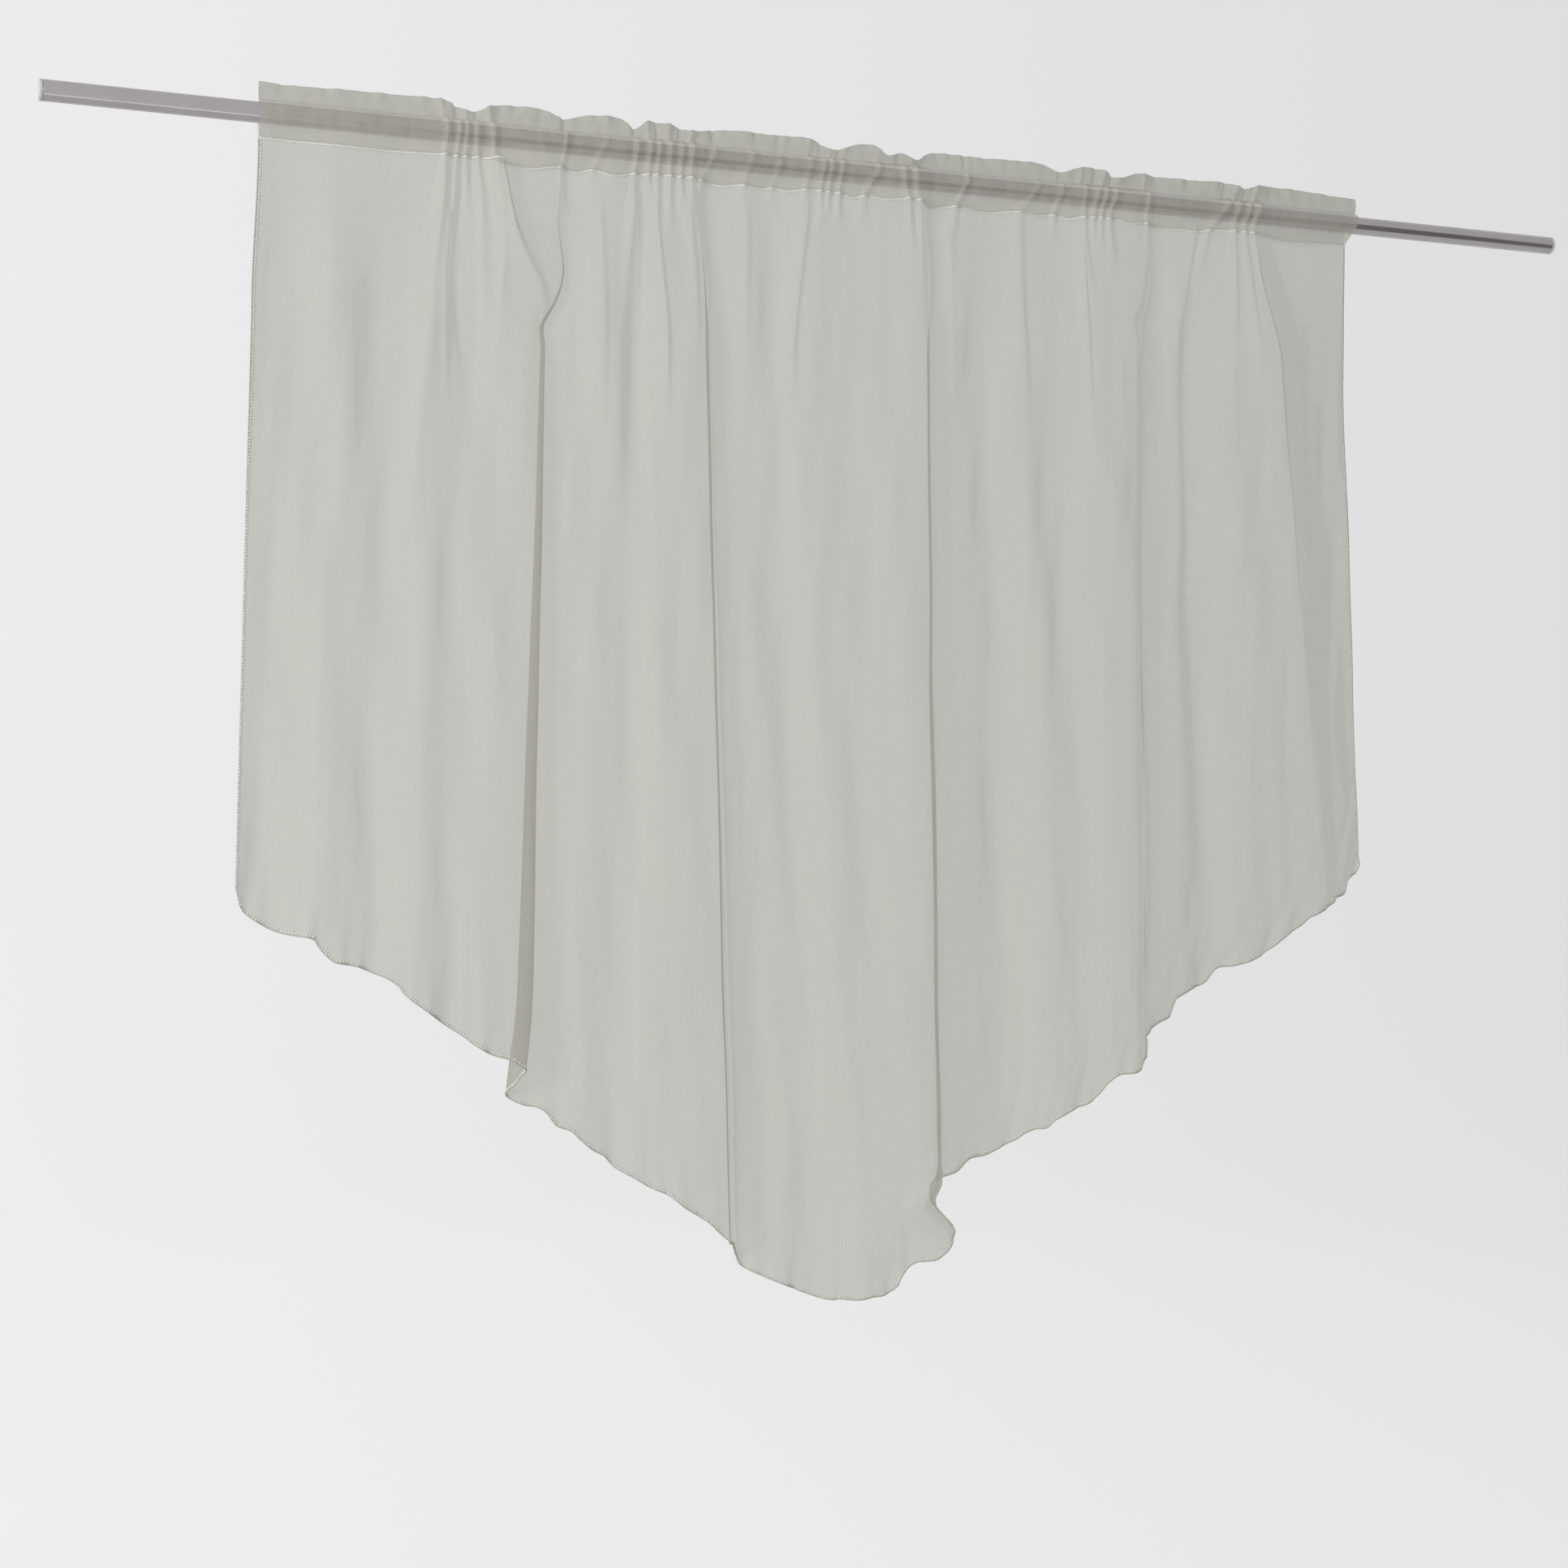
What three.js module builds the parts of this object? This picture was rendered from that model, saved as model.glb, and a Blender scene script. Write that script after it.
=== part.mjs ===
// A sheer cafe curtain with a pointed hem, gathered by its rod pocket on a plain round rod.
// Millimetres, +Z up. The origin is on the rod's axis at mid-length. +X runs to the right along
// the rod, as seen from the room, and +Y points away from the room, to what the rod hangs on.

import * as THREE from 'three';

const { lerp, smoothstep, clamp, degToRad } = THREE.MathUtils;

// Rod: a thin steel tube
const ROD_LENGTH = 1905;
const ROD_RADIUS = 11;
const ROD_WALL = 0.8;
const ROD_SIDES = 32;

// End plugs, pushed into the tube
const PLUG_CAP = 4;
const PLUG_CHAMFER = 1.2;
const PLUG_SPIGOT = 20;
const FIT_GAP = 0.3;

// Cloth, and the heights of its seams and shoulder from the rod's axis
const SHEET = 1.2;
const RUFFLE_TOP = 35;
const UPPER_SEAM = 15;
const LOWER_SEAM = -26;
const SHOULDER = -210;

// Pocket: its room around the rod, its gap where it rests on the rod, the seam allowance below,
// and the corners of its section, in degrees above the rod's axis, on each side of the rod
const POCKET_ROOM = 2.5;
const POCKET_REST = 1.2;
const SEAM_ALLOWANCE = 4;
const POCKET_CORNERS = [-50, 0, 40];

// Share of a line's stand at the lower seam that its ruffle and its pocket keep
const RUFFLE_SWAY = 0.8;
const POCKET_PUFF = 0.4;

// The loose end of the heading on the right spreads past the seam below it
const EAR_OUT = 16;
const EAR_REACH = 60;

// Lines down the cloth, left to right. top, shoulder and hem are X at the lower seam, at the
// shoulder and at the hem. lift and stand are how far the line stands out into the room from
// the cloth beside it, at the shoulder and at the hem. A tuck breaks over to the right: its
// foot lies run mm to the right of it for each mm that it stands out, or under it where run
// is negative. flick is how far the last of its ridge swings to the right.
const LINES = [
  { is: 'edge', top: -734, shoulder: -741, hem: -757, lift: 0, stand: 0 },
  { is: 'hollow', top: -705, shoulder: -711, hem: -722, lift: -4, stand: -6 },
  { is: 'crest', top: -650, shoulder: -652, hem: -668, lift: 7, stand: 10 },
  { is: 'hollow', top: -590, shoulder: -598, hem: -612, lift: -5, stand: -6 },
  { is: 'crest', top: -532, shoulder: -556, hem: -572, lift: 7, stand: 9 },
  { is: 'hollow', top: -520, shoulder: -525, hem: -530, lift: -3, stand: -4 },
  { is: 'crest', top: -470, shoulder: -482, hem: -492, lift: 4, stand: 3 },
  { is: 'tuck', top: -409, shoulder: -436, hem: -458, lift: 18, stand: 44, run: -0.23 },
  { is: 'crest', top: -345, shoulder: -348, hem: -385, lift: 6, stand: 6 },
  { is: 'hollow', top: -318, shoulder: -322, hem: -340, lift: -4, stand: -4 },
  { is: 'crest', top: -292, shoulder: -300, hem: -300, lift: 5, stand: 4 },
  { is: 'tuck', top: -248, shoulder: -241, hem: -226, lift: 14, stand: 46, run: 0.66 },
  { is: 'crest', top: -190, shoulder: -190, hem: -150, lift: 6, stand: 6 },
  { is: 'hollow', top: -158, shoulder: -158, hem: -110, lift: -4, stand: -4 },
  { is: 'crest', top: -120, shoulder: -134, hem: -70, lift: 6, stand: 8 },
  { is: 'hollow', top: -60, shoulder: -62, hem: -30, lift: -4, stand: -4 },
  { is: 'tuck', top: 23, shoulder: 25, hem: 15, lift: 28, stand: 80, run: 0.46, flick: 19 },
  { is: 'crest', top: 74, shoulder: 76, hem: 100, lift: 6, stand: 6 },
  { is: 'hollow', top: 115, shoulder: 115, hem: 150, lift: -4, stand: -4 },
  { is: 'crest', top: 158, shoulder: 160, hem: 190, lift: 6, stand: 6 },
  { is: 'hollow', top: 205, shoulder: 205, hem: 225, lift: -4, stand: -4 },
  { is: 'crest', top: 247, shoulder: 252, hem: 258, lift: 5, stand: 4 },
  { is: 'tuck', top: 323, shoulder: 307, hem: 294, lift: 24, stand: 63, run: 0.62 },
  { is: 'crest', top: 372, shoulder: 374, hem: 378, lift: 5, stand: 6 },
  { is: 'hollow', top: 408, shoulder: 388, hem: 420, lift: -5, stand: -4 },
  { is: 'crest', top: 440, shoulder: 446, hem: 470, lift: 5, stand: 6 },
  { is: 'tuck', top: 484, shoulder: 512, hem: 588, lift: 26, stand: 10, run: 2.2 },
  { is: 'edge', top: 624, shoulder: 627, hem: 650, lift: -2, stand: 0 },
];
const FOOT_BACK = 2;
const LIFT_AT_SEAM = 0.4;
const RUN_AT_SEAM = 1.5;
const FLICK_FROM = 0.93;

// Gathers in the ruffle: where its top edge dips, how deep, and over what half-width. A negative
// dip is a stretch that stands up.
const GATHERS = [
  { at: -690, dip: 3, reach: 80 },
  { at: -508, dip: 10, reach: 22 },
  { at: -403, dip: 7, reach: 18 },
  { at: -322, dip: 10, reach: 10 },
  { at: -258, dip: 7, reach: 26 },
  { at: -82, dip: 11, reach: 22 },
  { at: -14, dip: 11, reach: 14 },
  { at: 19, dip: 14, reach: 16 },
  { at: 214, dip: 8, reach: 18 },
  { at: 292, dip: 9, reach: 18 },
  { at: 470, dip: 6, reach: 16 },
  { at: 550, dip: -3.5, reach: 50 },
];

// Cut edge: how far it hangs below the rod's axis, by its place across the flat cloth
const CUT = [
  { across: 0, drop: 808 },
  { across: 14, drop: 836 },
  { across: 40, drop: 857 },
  { across: 150, drop: 909 },
  { across: 280, drop: 990 },
  { across: 620, drop: 1214 },
  { across: 690, drop: 1261 },
  { across: 750, drop: 1289 },
  { across: 800, drop: 1294 },
  { across: 850, drop: 1284 },
  { across: 878, drop: 1256 },
  { across: 905, drop: 1243 },
  { across: 930, drop: 1224 },
  { across: 1006, drop: 1177 },
  { across: 1130, drop: 1116 },
  { across: 1190, drop: 1084 },
  { across: 1262, drop: 1041 },
  { across: 1350, drop: 1000 },
  { across: 1400, drop: 968 },
  { across: 1500, drop: 922 },
  { across: 1624, drop: 859 },
  { across: 1650, drop: 838 },
  { across: 1664, drop: 821 },
];
const RIPPLE_HEIGHT = 3;
const RIPPLE_PITCH = 58;
const RIPPLE_DRIFT = 380;

// How finely the cloth is divided: rows from the lower seam to the shoulder, the levels of the rows
// from there to the hem, steps in each span between two lines, and measures of length in each step
const SEAM_ROWS = 3;
const PANEL_LEVELS = [0, 0.14, 0.29, 0.44, 0.58, 0.72, 0.85, 0.94, 1];
const SPAN_STEPS = 3;
const MEASURES_PER_STEP = 4;

// X of a line, how far it stands out, and X of its foot. level is -1 at the lower seam, 0 at
// the shoulder and 1 at the hem.
function placeLine(line, level) {
  const opened = smoothstep(level, -1, 0);
  const fallen = Math.max(level, 0);
  const x = lerp(lerp(line.top, line.shoulder, opened), line.hem, fallen);
  const out = lerp(line.lift * lerp(LIFT_AT_SEAM, 1, opened), line.stand, fallen);
  const run = (line.run ?? 0) + RUN_AT_SEAM * (1 - opened);
  const swing = (line.flick ?? 0) * smoothstep(level, FLICK_FROM, 1);
  return { x: x + swing, out, foot: x + run * out };
}

// The cloth's plan at a level: a smooth curve through its edges, the ridge and the foot of each
// tuck, and the crests and hollows, which ride on the flanks between those.
function planCurve(level) {
  const stations = [];
  for (const line of LINES) {
    const { x, out, foot } = placeLine(line, level);
    const carries = line.is === 'edge' || line.is === 'tuck';
    stations.push({ x, y: -out, carries });
    if (line.is === 'tuck') {
      stations.push({ x: foot, y: FOOT_BACK, carries });
    }
  }
  let left = stations[0];
  stations.forEach((station, index) => {
    if (station.carries) {
      left = station;
    } else {
      const right = stations.slice(index).find((other) => other.carries);
      station.y += lerp(left.y, right.y, smoothstep(station.x, left.x, right.x));
    }
  });
  const points = stations.map(({ x, y }) => new THREE.Vector3(x, y, 0));
  return new THREE.CatmullRomCurve3(points, false, 'centripetal');
}

// The cut edge's drop at a place across the flat cloth: a cubic between the table's rows, with
// the slope at each row taken from the rows beside it, and a small uneven ripple
function dropAt(across) {
  const last = CUT.length - 1;
  const slopeAt = (row) => {
    const before = CUT[Math.max(row - 1, 0)];
    const after = CUT[Math.min(row + 1, last)];
    return (after.drop - before.drop) / (after.across - before.across);
  };
  const next = CUT.findIndex((row) => row.across > across);
  const row = next < 0 ? last : next;
  const [a, b] = [CUT[row - 1], CUT[row]];
  const width = b.across - a.across;
  const t = clamp((across - a.across) / width, 0, 1);
  const bend = slopeAt(row - 1) * t * (1 - t) ** 2 - slopeAt(row) * t * t * (1 - t);
  const turn = (2 * Math.PI * across) / RIPPLE_PITCH + Math.sin(across / RIPPLE_DRIFT);
  return lerp(a.drop, b.drop, smoothstep(t, 0, 1)) + bend * width + RIPPLE_HEIGHT * Math.sin(turn);
}

// The sheet's middle surface below the lower seam, as rows of points from the seam to the hem
function panelRows() {
  const hemCurve = planCurve(1);
  const steps = (hemCurve.points.length - 1) * SPAN_STEPS;
  const measures = hemCurve.getPoints(steps * MEASURES_PER_STEP);
  const across = [0];
  measures.slice(1).forEach((point, k) => across.push(across[k] + point.distanceTo(measures[k])));
  const hem = [];
  for (let step = 0; step <= steps; step += 1) {
    hem.push(-dropAt(across[step * MEASURES_PER_STEP]));
  }
  const rowAt = (level, heightAt) =>
    planCurve(level).getPoints(steps).map(({ x, y }, step) => new THREE.Vector3(x, y, heightAt(step)));
  const rows = [];
  for (let row = 0; row < SEAM_ROWS; row += 1) {
    const t = row / SEAM_ROWS;
    rows.push(rowAt(t - 1, () => lerp(LOWER_SEAM, SHOULDER, t)));
  }
  for (const level of PANEL_LEVELS) {
    rows.push(rowAt(level, (step) => lerp(SHOULDER, hem[step], level)));
  }
  return rows;
}

// The middle surface's unit normal at a point, facing the room
function normalAt(rows, row, step) {
  const up = rows[Math.max(row - 1, 0)][step];
  const down = rows[Math.min(row + 1, rows.length - 1)][step];
  const left = rows[row][Math.max(step - 1, 0)];
  const right = rows[row][Math.min(step + 1, rows[row].length - 1)];
  const across = new THREE.Vector3().subVectors(right, left);
  return new THREE.Vector3().subVectors(up, down).cross(across).normalize().negate();
}

// Height of the ruffle's top edge at X
function ruffleTop(x) {
  return GATHERS.reduce(
    (height, { at, dip, reach }) => height - dip * Math.exp(-(((x - at) / reach) ** 2)),
    RUFFLE_TOP,
  );
}

// The heading's section above one point of the lower seam, in Y and Z: the outline up its room
// side and down its far side, and the pocket's hollow in the same order from its lowest point
function headingSection(seam) {
  const puff = Math.max(-seam.y, 0) * POCKET_PUFF;
  const inner = ROD_RADIUS + POCKET_ROOM;
  const corner = (side, radius) => (degrees) => ({
    y: side * Math.cos(degToRad(degrees)) * radius,
    z: Math.sin(degToRad(degrees)) * radius,
  });
  const falling = [...POCKET_CORNERS].reverse();
  const sway = seam.y * RUFFLE_SWAY;
  const top = ruffleTop(seam.x);
  const outline = [
    ...POCKET_CORNERS.map(corner(-1, inner + puff + SHEET)),
    { y: -SHEET, z: UPPER_SEAM },
    { y: sway - SHEET, z: top },
    { y: sway + SHEET, z: top },
    { y: SHEET, z: UPPER_SEAM },
    ...falling.map(corner(1, inner + SHEET)),
  ];
  const hollow = [
    { y: seam.y / 2, z: LOWER_SEAM + SEAM_ALLOWANCE },
    ...POCKET_CORNERS.map(corner(-1, inner + puff)),
    { y: 0, z: ROD_RADIUS + POCKET_REST },
    ...falling.map(corner(1, inner)),
  ];
  return { outline, hollow };
}

// The whole curtain: panel, pocket and ruffle are one length of cloth
function curtainGeometry() {
  const rows = panelRows();
  const steps = rows[0].length - 1;
  const rightEnd = rows[0][steps].x;
  const earAt = (x, z) =>
    EAR_OUT * smoothstep(x, rightEnd - EAR_REACH, rightEnd) * smoothstep(z, LOWER_SEAM, RUFFLE_TOP);
  const outlines = [];
  const hollows = [];
  for (let step = 0; step <= steps; step += 1) {
    const seam = rows[0][step];
    const stand = ({ y, z }) => new THREE.Vector3(seam.x + earAt(seam.x, z), y, z);
    const face = (side) =>
      rows.map((points, row) =>
        points[step].clone().addScaledVector(normalAt(rows, row, step), (side * SHEET) / 2));
    const { outline, hollow } = headingSection(seam);
    outlines.push([...face(1).reverse(), ...outline.map(stand), ...face(-1)]);
    hollows.push(hollow.map(stand));
  }
  return loftWithHollow(outlines, hollows, rows.length);
}

// A closed solid through sections that each have an outline and one hollow, capped at both ends.
// The outline starts and ends with a tail of two facing sides, which its cap crosses in a strip.
function loftWithHollow(outlines, hollows, tail) {
  const vertices = [];
  const triangles = [];
  const number = (loops) => loops.map((loop) => loop.map((point) => vertices.push(point) - 1));
  const skin = (rings, outward) => {
    for (let ring = 0; ring < rings.length - 1; ring += 1) {
      const [near, far] = [rings[ring], rings[ring + 1]];
      near.forEach((a, k) => {
        const next = (k + 1) % near.length;
        const [b, c, d] = [far[k], far[next], near[next]];
        triangles.push(...(outward ? [a, b, c, a, c, d] : [a, c, b, a, d, c]));
      });
    }
  };
  const outer = number(outlines);
  const inner = number(hollows);
  skin(outer, true);
  skin(inner, false);
  const flat = (index) => new THREE.Vector2(vertices[index].y, vertices[index].z);
  const cap = (outline, hollow, facing) => {
    const faces = [];
    const last = outline.length - 1;
    for (let k = 0; k < tail - 1; k += 1) {
      const [a, b, c, d] = [k, k + 1, last - k - 1, last - k].map((corner) => outline[corner]);
      faces.push([a, b, c], [a, c, d]);
    }
    const head = outline.slice(tail - 1, outline.length - tail + 1);
    const around = [...head, ...hollow];
    for (const corners of THREE.ShapeUtils.triangulateShape(head.map(flat), [hollow.map(flat)])) {
      faces.push(corners.map((corner) => around[corner]));
    }
    for (const [a, b, c] of faces) {
      const turn = flat(b).sub(flat(a)).cross(flat(c).sub(flat(a)));
      triangles.push(...(turn * facing > 0 ? [a, b, c] : [a, c, b]));
    }
  };
  cap(outer[0], inner[0], -1);
  cap(outer.at(-1), inner.at(-1), 1);
  const geometry = new THREE.BufferGeometry().setFromPoints(vertices);
  geometry.setIndex(triangles);
  geometry.computeVertexNormals();
  return geometry;
}

// A turned piece along X, from a profile of radius and X
function turned(profile) {
  const points = profile.map(([radius, x]) => new THREE.Vector2(radius, x));
  return new THREE.LatheGeometry(points, ROD_SIDES).rotateZ(-Math.PI / 2);
}

function rodGeometry() {
  const end = ROD_LENGTH / 2 - PLUG_CAP - FIT_GAP;
  const bore = ROD_RADIUS - ROD_WALL;
  return turned([[ROD_RADIUS, -end], [ROD_RADIUS, end], [bore, end], [bore, -end], [ROD_RADIUS, -end]]);
}

function plugGeometry() {
  const face = ROD_LENGTH / 2;
  const shoulder = face - PLUG_CAP;
  const spigot = ROD_RADIUS - ROD_WALL - FIT_GAP;
  return turned([
    [0, shoulder - PLUG_SPIGOT],
    [spigot, shoulder - PLUG_SPIGOT],
    [spigot, shoulder],
    [ROD_RADIUS, shoulder],
    [ROD_RADIUS, face - PLUG_CHAMFER],
    [ROD_RADIUS - PLUG_CHAMFER, face],
    [0, face],
  ]);
}

function piece(name, geometry, finish) {
  const mesh = new THREE.Mesh(geometry, new THREE.MeshStandardMaterial(finish));
  mesh.name = name;
  return mesh;
}

const VOILE = { color: 0xbfbeb7, roughness: 0.85, metalness: 0 };
const SATIN_NICKEL = { color: 0xa59ea3, roughness: 0.35, metalness: 0.9 };
const PALE_PLASTIC = { color: 0xd6d4d3, roughness: 0.5, metalness: 0 };

const curtainOnRod = new THREE.Group();
curtainOnRod.add(piece('curtain', curtainGeometry(), VOILE));
curtainOnRod.add(piece('rod', rodGeometry(), SATIN_NICKEL));
curtainOnRod.add(piece('plug_right', plugGeometry(), PALE_PLASTIC));
const plugLeft = piece('plug_left', plugGeometry(), PALE_PLASTIC);
plugLeft.rotation.z = Math.PI;
curtainOnRod.add(plugLeft);

export default curtainOnRod;
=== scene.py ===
"""A sheer cafe curtain with a pointed hem, gathered by its pocket on a slim rod.

Tables are in millimetres: X runs to the right along the rod as seen from the room, Y away from
the room and Z up, from the rod's axis at mid-length. Meshes are in metres.
"""

import math
from collections import namedtuple

import bpy
import numpy as np
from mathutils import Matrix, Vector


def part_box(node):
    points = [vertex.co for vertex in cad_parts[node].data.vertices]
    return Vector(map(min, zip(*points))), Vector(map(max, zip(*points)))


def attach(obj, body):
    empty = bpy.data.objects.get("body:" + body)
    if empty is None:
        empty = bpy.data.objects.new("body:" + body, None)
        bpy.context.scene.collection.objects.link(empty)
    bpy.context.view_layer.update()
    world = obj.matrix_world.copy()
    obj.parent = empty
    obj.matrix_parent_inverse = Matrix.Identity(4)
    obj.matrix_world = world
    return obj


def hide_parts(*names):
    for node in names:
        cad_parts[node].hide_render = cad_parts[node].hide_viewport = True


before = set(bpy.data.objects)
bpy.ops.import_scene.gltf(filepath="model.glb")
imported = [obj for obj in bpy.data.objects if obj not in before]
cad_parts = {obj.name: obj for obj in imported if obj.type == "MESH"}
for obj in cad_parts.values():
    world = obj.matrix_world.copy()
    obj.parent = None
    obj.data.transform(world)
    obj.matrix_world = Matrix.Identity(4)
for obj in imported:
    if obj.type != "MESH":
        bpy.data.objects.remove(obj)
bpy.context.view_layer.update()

MM = 0.001
BODY = "root"

# Rod and plugs: sizes from the frame, the tube's wall and rim, the caps and spigots
ROD_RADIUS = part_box("rod")[1].z / MM
ROD_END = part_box("rod")[1].x / MM
PLUG_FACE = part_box("plug_right")[1].x / MM
ROD_WALL = 0.8
ROD_RIM = ROD_WALL / 3
RIM_STEPS = 4
PLUG_CAP = 4
PLUG_ROUND = 1.4
PLUG_BEVEL = 0.25
PLUG_SPIGOT = 20
SPIGOT_PLAY = 0.3
NEAR_AXIS = 0.01
ROD_SIDES = 72

# Dish of a plug's face: shares of its radius with the depth there, and the depth at its middle
PLUG_DISH = ((0.6, 0), (0.4, 0.15))
PLUG_DISH_DEPTH = 0.2

# Heights of the cloth's parts from the rod's axis
RUFFLE_TOP = 35
UPPER_SEAM = 15
LOWER_SEAM = -26
SHOULDER = -210

# Pocket: radius of its cloth around the rod, corners of its section in degrees above the rod's
# axis, half the gap between the two layers above it, and the edge turned in at its foot
POCKET_RADIUS = ROD_RADIUS + 3.1
POCKET_CORNERS = (-50, 0, 40)
LAYER_GAP = 0.35
TURNED_IN = 1.2

# Share of a line's stand at the lower seam that its ruffle and its pocket keep
RUFFLE_SWAY = 0.8
POCKET_PUFF = 0.4

# The loose end of the heading on the right spreads past the seam below it
EAR_OUT = 16
EAR_REACH = 60

# Lines down the cloth, left to right: X at the lower seam, the shoulder and the hem, how far the
# line stands out at the shoulder and at the hem, how far its foot runs to the right for each mm
# that it stands out, and how far the last of its ridge swings to the right
Line = namedtuple("Line", "kind top shoulder hem lift stand run flick", defaults=(0, 0))
LINES = [
    Line("edge", -734, -741, -757, 0, 0),
    Line("hollow", -705, -711, -722, -4, -6),
    Line("crest", -650, -652, -668, 7, 10),
    Line("hollow", -590, -598, -612, -5, -6),
    Line("crest", -532, -556, -572, 4, 9),
    Line("hollow", -520, -525, -530, -3, -4),
    Line("crest", -470, -482, -492, 4, 3),
    Line("tuck", -409, -427, -451, 7, 44, -0.18),
    Line("crest", -345, -348, -385, 6, 6),
    Line("hollow", -318, -322, -340, -4, -4),
    Line("crest", -292, -300, -300, 5, 4),
    Line("tuck", -248, -241, -226, 14, 46, 0.66),
    Line("crest", -190, -190, -150, 6, 6),
    Line("hollow", -158, -158, -110, -4, -4),
    Line("crest", -120, -134, -70, 6, 8),
    Line("hollow", -60, -62, -30, -4, -4),
    Line("tuck", 23, 25, 15, 28, 80, 0.53, 19),
    Line("crest", 74, 76, 100, 6, 6),
    Line("hollow", 115, 115, 150, -4, -4),
    Line("crest", 158, 160, 190, 6, 6),
    Line("hollow", 205, 205, 225, -4, -4),
    Line("crest", 247, 252, 258, 5, 4),
    Line("tuck", 323, 307, 294, 24, 63, 0.78),
    Line("crest", 372, 374, 378, 5, 6),
    Line("hollow", 408, 388, 420, -5, -4),
    Line("crest", 440, 446, 470, 5, 6),
    Line("tuck", 484, 512, 586, 28, 14, 2.3),
    Line("edge", 630, 635, 658, -18, -16),
]

# The foot of a tuck lies a little behind the rod's axis. At the lower seam a line keeps a share of
# its lift, and a foot runs further to the right. A ridge swings near the hem only
FOOT_BACK = 2
LIFT_AT_SEAM = 0.4
RUN_AT_SEAM = 1.5
FLICK_FROM = 0.93

# Gathers in the ruffle: where its top edge dips, how deep, and over what half-width
Gather = namedtuple("Gather", "at dip reach")
GATHERS = [
    Gather(-690, 3, 80),
    Gather(-508, 10, 22),
    Gather(-403, 7, 18),
    Gather(-322, 10, 10),
    Gather(-258, 7, 26),
    Gather(-82, 11, 22),
    Gather(-14, 11, 14),
    Gather(19, 14, 16),
    Gather(214, 8, 18),
    Gather(292, 9, 18),
    Gather(470, 6, 16),
    Gather(550, -3.5, 50),
]

# Cut edge: places across the flat cloth and how far the edge hangs below the rod's axis there, at
# each turn of its uneven scallops
CUT = (
    (0, 812), (5, 832), (16, 844), (42, 859), (62, 863), (83, 867), (89, 876), (96, 884), (104, 891),
    (114, 894), (129, 897), (147, 905), (160, 910), (174, 918), (182, 927), (202, 942), (226, 960),
    (247, 974), (259, 983), (280, 994), (302, 1000), (315, 1007), (376, 1050), (391, 1058), (402, 1060),
    (411, 1066), (416, 1075), (422, 1082), (435, 1087), (446, 1098), (460, 1110), (471, 1116),
    (484, 1130), (500, 1139), (522, 1151), (545, 1161), (561, 1174), (587, 1191), (611, 1213),
    (663, 1241), (673, 1255), (693, 1266), (721, 1277), (750, 1290), (773, 1296), (806, 1294),
    (828, 1291), (845, 1289), (857, 1280), (861, 1270), (879, 1254), (890, 1251), (905, 1247),
    (930, 1225), (1016, 1175), (1035, 1165), (1047, 1153), (1063, 1150), (1079, 1143), (1097, 1135),
    (1112, 1124), (1128, 1119), (1143, 1117), (1154, 1106), (1177, 1096), (1198, 1086), (1219, 1063),
    (1229, 1056), (1256, 1051), (1268, 1043), (1345, 1011), (1358, 1005), (1372, 995), (1376, 979),
    (1398, 967), (1422, 960), (1440, 942), (1461, 938), (1501, 926), (1530, 906), (1560, 888),
    (1570, 880), (1600, 869), (1628, 858), (1645, 853), (1650, 837), (1667, 828), (1673, 817),
)
FLAT_WIDTH = CUT[-1][0]

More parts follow.
